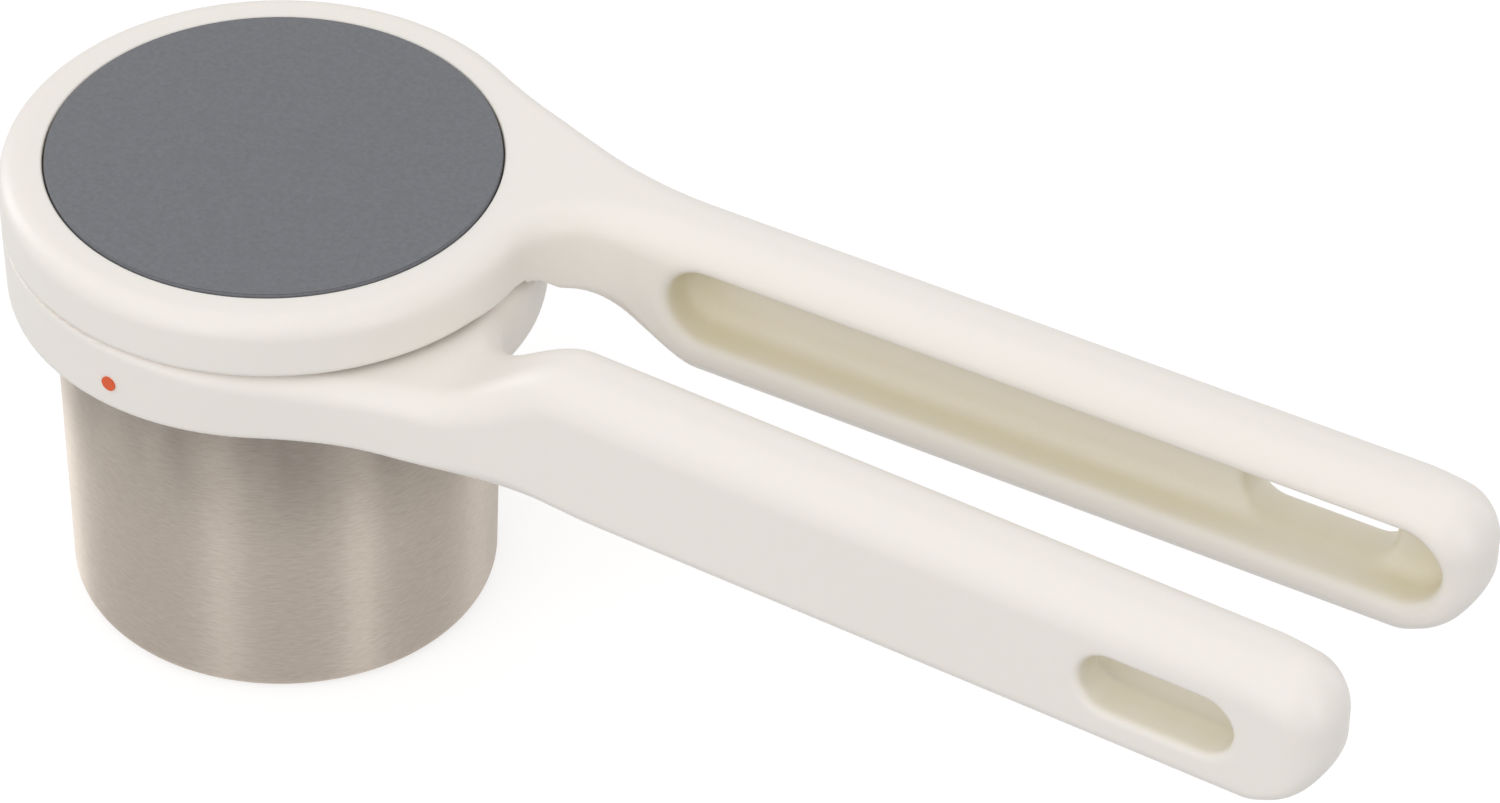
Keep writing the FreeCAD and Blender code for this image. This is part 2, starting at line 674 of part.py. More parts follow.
def add_screw_bosses(body):
    """Bosses inside the drum, in line with the screw holes of the head plate."""
    angle = math.radians(HALF_SPLAY - SLEEVE_TURN)
    across = f"Sizes.boss_circle * {math.cos(angle):.6f}"
    up = f"Sizes.boss_circle * {math.sin(angle):.6f}"
    boss = new_sketch(body, "boss_outline", "XY_Plane", "Sizes.boss_bottom")
    draw_circle(boss, across, up, "Sizes.boss_radius")
    bosses = pad(body, "boss", boss, "Sizes.head_plate_bottom - Sizes.boss_bottom")
    hole = new_sketch(body, "pilot_outline", "XY_Plane", "Sizes.screw_tip - 1")
    draw_circle(hole, across, up, "Sizes.screw_radius")
    pilots = cut(body, "pilot", hole, "Sizes.head_plate_bottom - Sizes.screw_tip + 1")
    repeat_around(body, "bosses", [bosses, pilots], STARTS)


def make_sleeve_screws():
    """Three pan-head screws from the head into the sleeve's bosses."""
    body = new_body("sleeve_screws")
    body.AllowCompound = True
    parts = []
    head_low = "Sizes.seat_floor - Sizes.screw_head_height"
    for name, radius, low, length in (
            ("shank", "Sizes.screw_radius", "Sizes.screw_tip", f"{head_low} - Sizes.screw_tip"),
            ("head", "Sizes.screw_head_radius", head_low, "Sizes.screw_head_height")):
        sketch = new_sketch(body, f"{name}_outline", "XY_Plane", low)
        draw_circle(sketch, "Sizes.boss_circle", "0", radius)
        parts.append(pad(body, name, sketch, length))
    repeat_around(body, "screws", parts, STARTS)
    body.Placement = turned(HALF_SPLAY)
    return body


def make_press_disc():
    """Plate that presses the potato, with rim notches that let it pass the lugs."""
    body = new_body("press_disc")
    recess = "Sizes.pivot_head_radius + 0.3"
    recess_top = "Sizes.press_bottom + Sizes.pivot_head_height + 0.3"
    bore = "Sizes.pivot_radius + Sizes.pivot_play"
    revolve(body, "plate", [
        (recess, "Sizes.press_bottom"),
        ("Sizes.press_radius", "Sizes.press_bottom"),
        ("Sizes.press_radius", "Sizes.press_top"),
        ("Sizes.press_hub_radius", "Sizes.press_top"),
        ("Sizes.press_hub_radius", "Sizes.press_hub_top"),
        (bore, "Sizes.press_hub_top"),
        (bore, recess_top),
        (recess, recess_top),
    ])
    notch = sector_notch(body, "lug_notch", "Sizes.notch_floor", "Sizes.press_radius + 2",
                         "Sizes.notch_half_angle", "Sizes.press_bottom - 1",
                         "Sizes.press_top - Sizes.press_bottom + 2", "Pocket")
    repeat_around(body, "lug_notches", [notch], STARTS)
    body.Placement = turned(SLEEVE_TURN)
    return body


def make_thrust_washer():
    body = new_body("thrust_washer")
    bore = "Sizes.pivot_radius + Sizes.pivot_play"
    revolve(body, "washer", [
        (bore, "Sizes.press_hub_top"),
        ("Sizes.washer_radius", "Sizes.press_hub_top"),
        ("Sizes.washer_radius", "Sizes.washer_top"),
        (bore, "Sizes.washer_top"),
    ])
    return body


def make_pivot_screw():
    """Shoulder screw that carries the press disc, its head sunk in the plate's underside."""
    body = new_body("pivot_screw")
    head_low = "Sizes.press_bottom + 0.1"
    head_top = "Sizes.press_bottom + Sizes.pivot_head_height + 0.1"
    revolve(body, "shank", [
        ("0", head_low),
        ("Sizes.pivot_head_radius", head_low),
        ("Sizes.pivot_head_radius", head_top),
        ("Sizes.pivot_radius", head_top),
        ("Sizes.pivot_radius", "Sizes.sleeve_bottom"),
        ("Sizes.pivot_thread", "Sizes.sleeve_bottom"),
        ("Sizes.pivot_thread", "Sizes.pivot_tip"),
        ("0", "Sizes.pivot_tip"),
    ])
    return body


def make_pivot_nut():
    """Hexagon nut on the shoulder screw, inside the drum."""
    blank = doc.addObject("Part::Prism", "pivot_nut_blank")
    blank.Polygon = 6
    blank.setExpression("Circumradius", "Sizes.nut_radius")
    blank.setExpression("Height", "Sizes.nut_height")
    bore = doc.addObject("Part::Cylinder", "pivot_nut_bore")
    bore.setExpression("Radius", "Sizes.pivot_thread")
    bore.setExpression("Height", "Sizes.nut_height")
    nut = doc.addObject("Part::Cut", "pivot_nut")
    nut.Label = "pivot_nut"
    nut.Base = blank
    nut.Tool = bore
    nut.Placement = FreeCAD.Placement(FreeCAD.Vector(0, 0, SIZES["hub_top"]), FreeCAD.Rotation())
    doc.recompute()
    return nut


def make_basket():
    """Drawn steel cup with a perforated floor and three bayonet tabs on its rim."""
    body = new_body("basket")
    revolve(body, "cup", [
        ("0", "0"),
        ("Sizes.basket_bottom_radius", "0"),
        ("Sizes.basket_top_radius", "Sizes.basket_top"),
        ("Sizes.basket_top_radius - Sizes.basket_wall", "Sizes.basket_top"),
        ("Sizes.basket_bottom_radius - Sizes.basket_wall", "Sizes.basket_wall"),
        ("0", "Sizes.basket_wall"),
    ])
    round_edges(body, "outer_corner", "Sizes.basket_corner",
                lambda edge: is_ring_edge(edge, "Sizes.basket_bottom_radius", "0"))
    round_edges(body, "inner_corner", "Sizes.basket_corner - Sizes.basket_wall",
                lambda edge: is_ring_edge(edge, "Sizes.basket_bottom_radius - Sizes.basket_wall",
                                          "Sizes.basket_wall"))
    tab = sector_notch(body, "tab", "Sizes.basket_top_radius - 0.5", "Sizes.tab_radius",
                       "Sizes.tab_half_angle", "Sizes.ledge_top", "Sizes.tab_height", "Pad")
    repeat_around(body, "tabs", [tab], STARTS)
    for ring in range(1, int(SIZES["hole_rings"]) + 1):
        sketch = new_sketch(body, f"hole_{ring}_outline", "XY_Plane")
        draw_circle(sketch, f"Sizes.hole_pitch * {ring}", "0", "Sizes.hole_radius")
        hole = cut(body, f"hole_{ring}", sketch, "Sizes.basket_wall")
        repeat_around(body, f"holes_{ring}", [hole], 6 * ring)
    body.Placement = turned(SIZES["basket_turn"] - HALF_SPLAY)
    return body


def make_index_dot(label, angle, height, outer_radius):
    """Orange plug pressed into a ring wall, its face just proud of the wall."""
    dot = doc.addObject("Part::Cylinder", label)
    dot.Label = label
    dot.setExpression("Radius", "Sizes.dot_radius")
    dot.setExpression("Height", "Sizes.dot_depth")
    outward = FreeCAD.Vector(math.cos(math.radians(angle)), math.sin(math.radians(angle)), 0)
    foot = outward * (size(outer_radius) - SIZES["dot_depth"])
    foot.z = size(height)
    dot.Placement = FreeCAD.Placement(foot, FreeCAD.Rotation(VERTICAL, outward))
    doc.recompute()
    return dot


NODES = [
    make_lower_handle(),
    make_basket(),
    make_index_dot("index_dot_lower", LOWER_DOT_ANGLE, "Sizes.lower_dot_height",
                   "Sizes.collar_radius"),
    make_upper_handle(),
    make_top_disc(),
    make_helix_sleeve(),
    make_sleeve_screws(),
    make_index_dot("index_dot_upper", UPPER_DOT_ANGLE, "Sizes.upper_dot_height",
                   "Sizes.head_radius"),
    make_press_disc(),
    make_thrust_washer(),
    make_pivot_screw(),
    make_pivot_nut(),
]
doc.recompute()

for item in doc.Objects:
    if "Invalid" in item.State or "Error" in item.State:
        raise RuntimeError(f"{item.Name} failed: {item.State}")

os.makedirs("parts", exist_ok=True)
for node in NODES:
    if node.Shape.isNull() or not node.Shape.isValid():
        raise RuntimeError(f"{node.Label} has no valid shape")
    node.Shape.exportStep(f"parts/{node.Label}.step")
    print(node.Label, len(node.Shape.Solids), round(node.Shape.Volume / 1000.0, 2), "cm3")
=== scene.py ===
import math

import bmesh
import bpy
import numpy as np
from mathutils import Matrix, Vector


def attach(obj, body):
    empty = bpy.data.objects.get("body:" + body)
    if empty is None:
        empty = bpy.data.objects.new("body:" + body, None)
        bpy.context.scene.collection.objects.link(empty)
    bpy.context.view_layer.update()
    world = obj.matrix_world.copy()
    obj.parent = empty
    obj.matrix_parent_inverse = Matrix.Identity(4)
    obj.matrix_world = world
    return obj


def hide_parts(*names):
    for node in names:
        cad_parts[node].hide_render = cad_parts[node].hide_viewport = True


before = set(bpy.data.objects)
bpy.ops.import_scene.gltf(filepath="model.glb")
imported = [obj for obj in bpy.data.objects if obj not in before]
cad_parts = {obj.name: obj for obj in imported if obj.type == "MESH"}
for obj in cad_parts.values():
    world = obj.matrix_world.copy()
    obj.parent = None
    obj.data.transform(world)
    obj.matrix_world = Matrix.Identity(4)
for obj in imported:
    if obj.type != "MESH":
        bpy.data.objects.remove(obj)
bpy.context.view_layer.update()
MM = 0.001

# ---------------------------------------------------------------------------------------------
# Head ring with the upper grip: one injection-moulded piece of ivory ABS. The ring carries the grey cap
# on top and the twist drum below; the grip has a hollowed inner face and a slot to hang it by.
# ---------------------------------------------------------------------------------------------
RING_RADIUS = 53.0
HEAD_BOTTOM, HEAD_TOP = 88.2, 100.9
HEAD_ROUND = 4.2
RIM_ROUND = 1.0
HEAD_PLATE_UNDERSIDE = 94.2
HEAD_CAVITY_RADIUS = 48.5
CAP_SEAT_RADIUS, CAP_SEAT_FLOOR = 44.5, 97.9
RING_CLEARANCE = 0.7
GRIP_TOP, GRIP_BOTTOM = 99.9, 66.6
GRIP_ROUND = 7.8
SPLAY = 1.1
UPPER = {"side": 1.0, "inner": 17.0, "outer": 35.2, "length": 247.5}
# Distances from the ring's axis between which the side view and the edge rounds change.
LEDGE_FROM, LEDGE_TO, LEDGE_HEIGHT = 51.0, 57.5, 82.3
UPPER_DROP_FROM, UPPER_DROP_TO = 54.0, 83.0
UPPER_TOP_FROM, UPPER_TOP_TO = 38.0, 62.0
ROUND_FROM, HEAD_ROUND_FROM, ROUND_TO = 50.0, 40.0, 80.0
INNER_FILLET, OUTER_FILLET = 16.0, 120.0
TIP_ROUND, TIP_REACH = 11.0, 18.0
HEEL = {"start": 10.8, "slope": 50.0, "toe_round": 5.5, "edge_round": 3.5, "round_from": 3.0, "round_to": 9.0}
CHANNEL = {"start": 77.0, "end": 240.5, "low": 76.0, "high": 93.0, "depth": 9.7, "draft": 0.08,
           "floor_round": 3.6, "lip_round": 2.4}
SLOT = {"start": 196.0, "end": 227.5, "low": 77.2, "high": 89.8, "edge_round": 1.6, "inset": 2.0}
SCREW_CIRCLE, SCREW_HOLE, SCREW_SEAT = 31.0, 2.0, 3.75
SCREW_HOLE_HEIGHTS, SCREW_SEAT_HEIGHTS = (90.0, 96.5), (95.7, 98.4)
STARTS = 3
CAVITY_EDGE, SEAT_FOOT, SEAT_LIP = 0.5, 0.3, 0.45
CUT_REACH = 4.0
SHELL_CELL = 0.72
LATHE_SIDES = 240


def ease(value, start, end):
    """Share from 0 to 1 that starts and ends softly."""
    share = np.clip((value - start) / (end - start), 0.0, 1.0)
    return share * share * (3.0 - 2.0 * share)


def blend(value, start, end, first, last):
    return first + (last - first) * ease(value, start, end)


def meet(one, other, radius):
    """Distance to where two solids overlap, with their common edge rounded."""
    a, b = one + radius, other + radius
    outer = np.hypot(np.maximum(a, 0.0), np.maximum(b, 0.0)) - radius
    return outer + np.minimum(np.maximum(a, b), 0.0)


def stadium(along, up, outline):
    """Distance to a long hole with full round ends."""
    radius = (outline["high"] - outline["low"]) / 2.0
    middle = (outline["high"] + outline["low"]) / 2.0
    nearest = np.clip(along, outline["start"] + radius, outline["end"] - radius)
    return np.hypot(along - nearest, up - middle) - radius


def side_limit(along, out, face, fillet, outward):
    """Distance past one side of the plan: the ring, a hollow fillet, then the straight face."""
    centre_out = face + outward * fillet
    centre_along = math.sqrt((RING_RADIUS + fillet) ** 2 - centre_out ** 2)
    from_along, from_out = along - centre_along, out - centre_out
    turn = -outward * (from_out * centre_along - from_along * centre_out)
    on_fillet = fillet - np.hypot(from_along, from_out)
    on_ring = np.hypot(along, out) - RING_RADIUS
    on_face = outward * (out - face)
    return np.where(along >= centre_along, on_face, np.where(turn >= 0.0, on_fillet, on_ring))


def grip_plan(along, out, grip):
    """Distance past the plan of ring, neck and grip, with a full round at the tip."""
    half = (grip["outer"] - grip["inner"]) / 2.0
    middle = (grip["outer"] + grip["inner"]) / 2.0
    last = grip["length"] - half
    sides = np.maximum(side_limit(along, out, grip["inner"], INNER_FILLET, -1.0),
                       side_limit(along, out, grip["outer"], OUTER_FILLET, 1.0))
    nose = np.hypot(along - last, out - middle) - half
    return np.where(along > last, nose, sides)


def heel_facet(along, up, grip):
    """Distance past the sloping facet under the end of the grip."""
    slope = math.radians(HEEL["slope"])
    past, under = along - grip["length"] + HEEL["start"], GRIP_BOTTOM - up
    return past * math.sin(slope) + under * math.cos(slope)


def grip_solid(along, out, up, grip, low, high, low_round, high_round, draft=0.0):
    """Ring, neck and grip in one sweep between a lower and an upper curve, hollowed and slotted."""
    plan = grip_plan(along, out, grip) + draft
    step = 0.5
    low_here, high_here = low(along), high(along)
    low_slope = (low(along + step) - low_here) / step
    high_slope = (high(along + step) - high_here) / step
    under = (low_here - up) / np.sqrt(1.0 + low_slope ** 2)
    over = (up - high_here) / np.sqrt(1.0 + high_slope ** 2)
    tip = ease(along, grip["length"] - TIP_REACH, grip["length"])
    high_round = high_round + (TIP_ROUND - high_round) * tip
    under = meet(under, heel_facet(along, up, grip), HEEL["toe_round"])
    heel = ease(up, low_here + HEEL["round_from"], low_here + HEEL["round_to"])
    low_round = low_round + (HEEL["edge_round"] - low_round) * heel
    solid = np.maximum(meet(plan, over, high_round), meet(plan, under, low_round))
    depth = out - grip["inner"]
    hollow = stadium(along, up, CHANNEL) + CHANNEL["draft"] * np.maximum(depth, 0.0)
    hollow = meet(hollow, depth - CHANNEL["depth"], CHANNEL["floor_round"])
    solid = meet(solid, -hollow, CHANNEL["lip_round"])
    through = np.maximum(stadium(along, up, SLOT), grip["inner"] + SLOT["inset"] - out)
    return meet(solid, -through, SLOT["edge_round"])


def upper_low(along):
    ledge = blend(along, LEDGE_FROM, LEDGE_TO, HEAD_BOTTOM, LEDGE_HEIGHT)
    return blend(along, UPPER_DROP_FROM, UPPER_DROP_TO, ledge, GRIP_BOTTOM)


def upper_high(along):
    return blend(along, UPPER_TOP_FROM, UPPER_TOP_TO, HEAD_TOP, GRIP_TOP)


def upper_field(along, out, up):
    low_round = blend(along, ROUND_FROM, ROUND_TO, RIM_ROUND, GRIP_ROUND)
    high_round = blend(along, HEAD_ROUND_FROM, ROUND_TO, HEAD_ROUND, GRIP_ROUND)
    return grip_solid(along, out, up, UPPER, upper_low, upper_high, low_round, high_round)


def skin(field, xs, ys, zs):
    """Closed quad mesh on the surface of a solid given by its distance field."""
    grid = np.meshgrid(xs, ys, zs, indexing="ij")
    value = field(*grid)
    inside = value < 0.0
    cells = tuple(n - 1 for n in value.shape)
    total = np.zeros(cells + (3,))
    count = np.zeros(cells)
    for axis in range(3):
        near = [slice(None)] * 3
        far = [slice(None)] * 3
        near[axis], far[axis] = slice(0, -1), slice(1, None)
        near, far = tuple(near), tuple(far)
        crossed = inside[near] != inside[far]
        share = np.where(crossed, value[near] / np.where(crossed, value[near] - value[far], 1.0), 0.0)
        spots = [np.where(crossed, g[near] + (g[far] - g[near]) * share, 0.0) for g in grid]
        others = [a for a in range(3) if a != axis]
        for first in (0, 1):
            for second in (0, 1):
                pick = [slice(None)] * 3
                pick[others[0]] = slice(first, cells[others[0]] + first)
                pick[others[1]] = slice(second, cells[others[1]] + second)
                pick = tuple(pick)
                count += crossed[pick]
                for k in range(3):
                    total[..., k] += spots[k][pick]
    used = count > 0
    number = np.full(cells, -1)
    number[used] = np.arange(used.sum())
    corners = total[used] / count[used][:, None]
    quads = []
    for axis in range(3):
        second, third = (axis + 1) % 3, (axis + 2) % 3
        near = [slice(None)] * 3
        far = [slice(None)] * 3
        near[axis], far[axis] = slice(0, -1), slice(1, None)
        for other in (second, third):
            near[other] = far[other] = slice(1, -1)
        here, there = inside[tuple(near)], inside[tuple(far)]
        for leaving in (True, False):
            found = np.argwhere((here == leaving) & (there != leaving))
            found[:, second] += 1
            found[:, third] += 1
            around = []
            for b, c in ((-1, -1), (0, -1), (0, 0), (-1, 0)):
                cell = found.copy()
                cell[:, second] += b
                cell[:, third] += c
                around.append(number[cell[:, 0], cell[:, 1], cell[:, 2]])
            quads.append(np.stack(around if leaving else around[::-1], axis=1))
    return settle(field, corners, np.concatenate(quads))


def settle(field, corners, quads):
    """Even out the corners along the surface and bring each one onto it."""
    nudge, longest_move, evening, passes, evening_passes = 0.02, 0.5, 0.6, 5, 3
    ends = np.concatenate([quads[:, [k, (k + 1) % 4]] for k in range(4)])
    degree = np.bincount(ends[:, 0], minlength=len(corners)).astype(float)

    def slope(points):
        parts = []
        for k in range(3):
            shift = np.zeros(3)
            shift[k] = nudge
            rise = field(*(points + shift).T) - field(*(points - shift).T)
            parts.append(rise / (2.0 * nudge))
        return np.stack(parts, axis=1)

    for turn in range(passes):
        normal = slope(corners)
        length = np.maximum(np.linalg.norm(normal, axis=1), 0.3)
        normal /= length[:, None]
        move = np.clip(field(*corners.T) / length, -longest_move, longest_move)
        corners = corners - normal * move[:, None]
        if turn < evening_passes:
            mean = np.stack([np.bincount(ends[:, 0], weights=corners[ends[:, 1], k],
                                         minlength=len(corners)) / degree for k in range(3)], axis=1)
            drift = mean - corners
            drift -= normal * (drift * normal).sum(axis=1)[:, None]
            corners = corners + drift * evening
    return corners, quads


def new_piece(name, corners, faces):
    """Mesh object from corners in millimetres, with smooth faces."""
    mesh = bpy.data.meshes.new(name)
    mesh.from_pydata((np.asarray(corners) * MM).tolist(), [], [list(map(int, f)) for f in faces])
    mesh.validate()
    piece = bpy.data.objects.new(name, mesh)
    bpy.context.scene.collection.objects.link(piece)
    mesh.shade_smooth()
    return piece


def turn_points(corners, degrees):
    angle = math.radians(degrees)
    turned = np.array(corners, float)
    turned[:, 0] = corners[:, 0] * math.cos(angle) - corners[:, 1] * math.sin(angle)
    turned[:, 1] = corners[:, 0] * math.sin(angle) + corners[:, 1] * math.cos(angle)
    return turned


def lathe(name, profile, sides=LATHE_SIDES):
    """Solid turned about the upright axis from (radius, height) points; on-axis ends become points."""
    corners, rings = [], []
    for radius, height in profile:
        if radius < 1e-6:
            rings.append([len(corners)])
            corners.append((0.0, 0.0, height))
            continue
        rings.append(list(range(len(corners), len(corners) + sides)))
        for k in range(sides):
            angle = 2.0 * math.pi * k / sides
            corners.append((radius * math.cos(angle), radius * math.sin(angle), height))
    faces = []
    for here, there in zip(rings, rings[1:] + rings[:1]):
        if len(here) == 1 and len(there) == 1:
            continue
        for k in range(sides):
            nxt = (k + 1) % sides
            if len(here) == 1:
                faces.append((here[0], there[nxt], there[k]))
            elif len(there) == 1:
                faces.append((here[k], here[nxt], there[0]))
            else:
                faces.append((here[k], here[nxt], there[nxt], there[k]))
    piece = new_piece(name, corners, faces)
    face_outwards(piece)
    return piece


def face_outwards(piece):
    shape = bmesh.new()
    shape.from_mesh(piece.data)
    bmesh.ops.recalc_face_normals(shape, faces=shape.faces)
    if shape.calc_volume(signed=True) < 0.0:
        bmesh.ops.reverse_faces(shape, faces=shape.faces)
    shape.to_mesh(piece.data)
    shape.free()


def peg(radius, low, high, centre, sides=48):
    """Corners and faces of an upright round peg."""
    x, y = centre
    corners = []
    for z in (low, high):
        for k in range(sides):
            angle = 2 * math.pi * k / sides
            corners.append((x + radius * math.cos(angle), y + radius * math.sin(angle), z))
    faces = [tuple(range(sides))[::-1], tuple(range(sides, 2 * sides))]
    faces += [(k, (k + 1) % sides, sides + (k + 1) % sides, sides + k) for k in range(sides)]
    return corners, faces


def join(name, pieces):
    """One object from several closed shells."""
    shape = bmesh.new()
    for piece in pieces:
        shape.from_mesh(piece.data)
    mesh = bpy.data.meshes.new(name)
    shape.to_mesh(mesh)
    shape.free()
    for piece in pieces:
        bpy.data.objects.remove(piece)
    joined = bpy.data.objects.new(name, mesh)
    bpy.context.scene.collection.objects.link(joined)
    return joined


def bake_modifiers(piece):
    """Replace the piece's mesh by what its modifiers make of it."""
    graph = bpy.context.evaluated_depsgraph_get()
    mesh = bpy.data.meshes.new_from_object(piece.evaluated_get(graph))
    piece.modifiers.clear()
    piece.data = mesh
    mesh.name = piece.name


def carve(piece, tool, operation="DIFFERENCE"):
    """Cut a tool out of a piece, or weld it on, and drop the tool."""
    bpy.context.view_layer.update()
    modifier = piece.modifiers.new("carve", "BOOLEAN")
    modifier.operation = operation
    modifier.solver = "MANIFOLD"
    modifier.object = tool
    bake_modifiers(piece)
    bpy.data.objects.remove(tool)


def crisp(piece, degrees=32.0):
    """Smooth faces that break only at real edges."""
    piece.data.shade_smooth()
    piece.data.set_sharp_from_angle(angle=math.radians(degrees))


def arc(centre, radius, start, end, steps=6):
    """Points of a rounded corner of a turned profile, angles in degrees."""
    return [(centre[0] + radius * math.cos(math.radians(start + (end - start) * k / steps)),
             centre[1] + radius * math.sin(math.radians(start + (end - start) * k / steps)))
            for k in range(steps + 1)]


def grip_shell(name, field, grip, low, high):
    """Skin a handle in its own straight frame, then set it on its side of the object."""
    before, after, under, over = 1.2, 1.5, 1.0, 1.2
    xs = np.arange(-RING_RADIUS - before, grip["length"] + after, SHELL_CELL)
    ys = np.arange(-RING_RADIUS - before, RING_RADIUS + after, SHELL_CELL)
    zs = np.arange(low - under, high + over, SHELL_CELL)
    corners, quads = skin(field, xs, ys, zs)
    if grip["side"] < 0.0:
        corners = corners * np.array((1.0, -1.0, 1.0))
        quads = quads[:, ::-1]
    return new_piece(name, turn_points(corners, grip["side"] * SPLAY), quads)


upper_shell = grip_shell("upper_shell", upper_field, UPPER, GRIP_BOTTOM, HEAD_TOP)
under_cut = lathe("under_cut", [
    (0.0, GRIP_BOTTOM - CUT_REACH),
    (RING_RADIUS + RING_CLEARANCE, GRIP_BOTTOM - CUT_REACH),
    (RING_RADIUS + RING_CLEARANCE, HEAD_BOTTOM),
    *arc((HEAD_CAVITY_RADIUS + CAVITY_EDGE, HEAD_BOTTOM + CAVITY_EDGE), CAVITY_EDGE, 270, 180, 4),
    (HEAD_CAVITY_RADIUS, HEAD_PLATE_UNDERSIDE),
    (0.0, HEAD_PLATE_UNDERSIDE),
])
seat_cut = lathe("seat_cut", [
    (0.0, CAP_SEAT_FLOOR),
    *arc((CAP_SEAT_RADIUS - SEAT_FOOT, CAP_SEAT_FLOOR + SEAT_FOOT), SEAT_FOOT, 270, 360, 3),
    *arc((CAP_SEAT_RADIUS + SEAT_LIP, HEAD_TOP - SEAT_LIP), SEAT_LIP, 180, 100, 4),
    (CAP_SEAT_RADIUS + SEAT_LIP, HEAD_TOP + CUT_REACH / 2.0),
    (0.0, HEAD_TOP + CUT_REACH / 2.0),
])
screw_holes = []
for k in range(STARTS):
    angle = math.radians(SPLAY + 120.0 * k)
    spot = (SCREW_CIRCLE * math.cos(angle), SCREW_CIRCLE * math.sin(angle))
    screw_holes.append(new_piece("screw_hole", *peg(SCREW_HOLE, *SCREW_HOLE_HEIGHTS, spot)))
    seat = new_piece("screw_seat", *peg(SCREW_SEAT, *SCREW_SEAT_HEIGHTS, spot))
    carve(screw_holes[-1], seat, "UNION")
carve(upper_shell, join("upper_cuts", [under_cut, seat_cut]))
carve(upper_shell, join("screw_cuts", screw_holes))


def plain_material(name, **sockets):
    """Material with a Principled shader whose even values sit on its own sockets."""
    material = bpy.data.materials.new(name)
    material.use_nodes = True
    shader = material.node_tree.nodes["Principled BSDF"]
    for socket, value in sockets.items():
        shader.inputs[socket.replace("_", " ")].default_value = value
    return material, material.node_tree, shader


def link(tree, source, output, target, socket):
    """Join one node's output to another's socket."""
    tree.links.new(source.outputs[output], target.inputs[socket])


def object_noise(tree, scale, detail=3.0, stretch=(1.0, 1.0, 1.0), roughness=0.5):
    """Noise over the piece's own coordinates, stretched along its axes."""
    place = tree.nodes.new("ShaderNodeTexCoord")
    mapping = tree.nodes.new("ShaderNodeMapping")
    mapping.inputs["Scale"].default_value = stretch
    noise = tree.nodes.new("ShaderNodeTexNoise")
    noise.inputs["Scale"].default_value = scale
    noise.inputs["Detail"].default_value = detail
    noise.inputs["Roughness"].default_value = roughness
    link(tree, place, "Object", mapping, "Vector")
    link(tree, mapping, "Vector", noise, "Vector")
    return noise


def spread(tree, noise, low, high):
    """Map a noise pattern between two values."""
    ramp = tree.nodes.new("ShaderNodeMapRange")
    ramp.inputs["To Min"].default_value = low
    ramp.inputs["To Max"].default_value = high
    link(tree, noise, "Fac", ramp, "Value")
    return ramp


def tint(tree, share, first, second):
    """Colour that moves between two shades with a spread pattern."""
    mix = tree.nodes.new("ShaderNodeMix")
    mix.data_type = "RGBA"
    mix.inputs["A"].default_value = (*first, 1.0)
    mix.inputs["B"].default_value = (*second, 1.0)
    link(tree, share, "Result", mix, "Factor")
    return mix


def texture_finish(tree, shader, noise, smoothest, roughest, strength=0.0, distance=0.0):
    """Vary the roughness with a noise pattern, and raise it in metres where it has a strength."""
    link(tree, spread(tree, noise, smoothest, roughest), "Result", shader, "Roughness")
    if strength > 0.0:
        bump = tree.nodes.new("ShaderNodeBump")
        bump.inputs["Strength"].default_value = strength
        bump.inputs["Distance"].default_value = distance
        link(tree, noise, "Fac", bump, "Height")
        link(tree, bump, "Normal", shader, "Normal")


def set_ranges(node, **values):
    """Set the number sockets of a node by name."""
    for label, value in values.items():
        node.inputs[label.replace("_", " ")].default_value = value


# Ivory ABS: a warm white with a soft sheen and a fine moulded texture, with painted shade that darkens and
# yellows it in its recesses.
IVORY_LIGHT = (0.870, 0.828, 0.780)
IVORY_DEEP = (0.850, 0.805, 0.752)
# Colour of the painted shade in the recesses, and how far the occlusion mask looks for walls around.
IVORY_PAINTED_RECESS_SHADE, PAINTED_SHADE_REACH = (0.740, 0.680, 0.490), 20.0
ivory, tree, shader = plain_material("ivory_plastic", Roughness=0.42, Specular_IOR_Level=0.45,
                                     Subsurface_Weight=0.10, Subsurface_Scale=0.004)
shader.inputs["Subsurface Radius"].default_value = (1.0, 0.75, 0.5)
flow = object_noise(tree, scale=22.0, detail=4.0, stretch=(0.5, 1.0, 1.0))
shade = tint(tree, spread(tree, flow, 0.1, 0.9), IVORY_LIGHT, IVORY_DEEP)
# Painted shade: an ambient-occlusion mask mixes a darker, yellower ivory into hollows and creases.
painted_recess_shade = tree.nodes.new("ShaderNodeAmbientOcclusion")
painted_recess_shade.samples = 8
painted_recess_shade.only_local = True
painted_recess_shade.inputs["Distance"].default_value = PAINTED_SHADE_REACH * MM
painted_shade_share = tree.nodes.new("ShaderNodeMapRange")
set_ranges(painted_shade_share, From_Min=0.35, From_Max=0.92, To_Min=1.0, To_Max=0.0)
link(tree, painted_recess_shade, "AO", painted_shade_share, "Value")
painted_shade_mix = tree.nodes.new("ShaderNodeMix")
painted_shade_mix.data_type = "RGBA"
painted_shade_mix.inputs["B"].default_value = (*IVORY_PAINTED_RECESS_SHADE, 1.0)
link(tree, shade, "Result", painted_shade_mix, "A")
link(tree, painted_shade_share, "Result", painted_shade_mix, "Factor")
link(tree, painted_shade_mix, "Result", shader, "Base Color")
texture = object_noise(tree, scale=1700.0, detail=4.0, roughness=0.7)
texture_finish(tree, shader, texture, 0.34, 0.50, strength=0.35, distance=0.00006)

upper_shell.data.materials.clear()
upper_shell.data.materials.append(ivory)
crisp(upper_shell)
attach(upper_shell, "upper")
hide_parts("upper_handle")

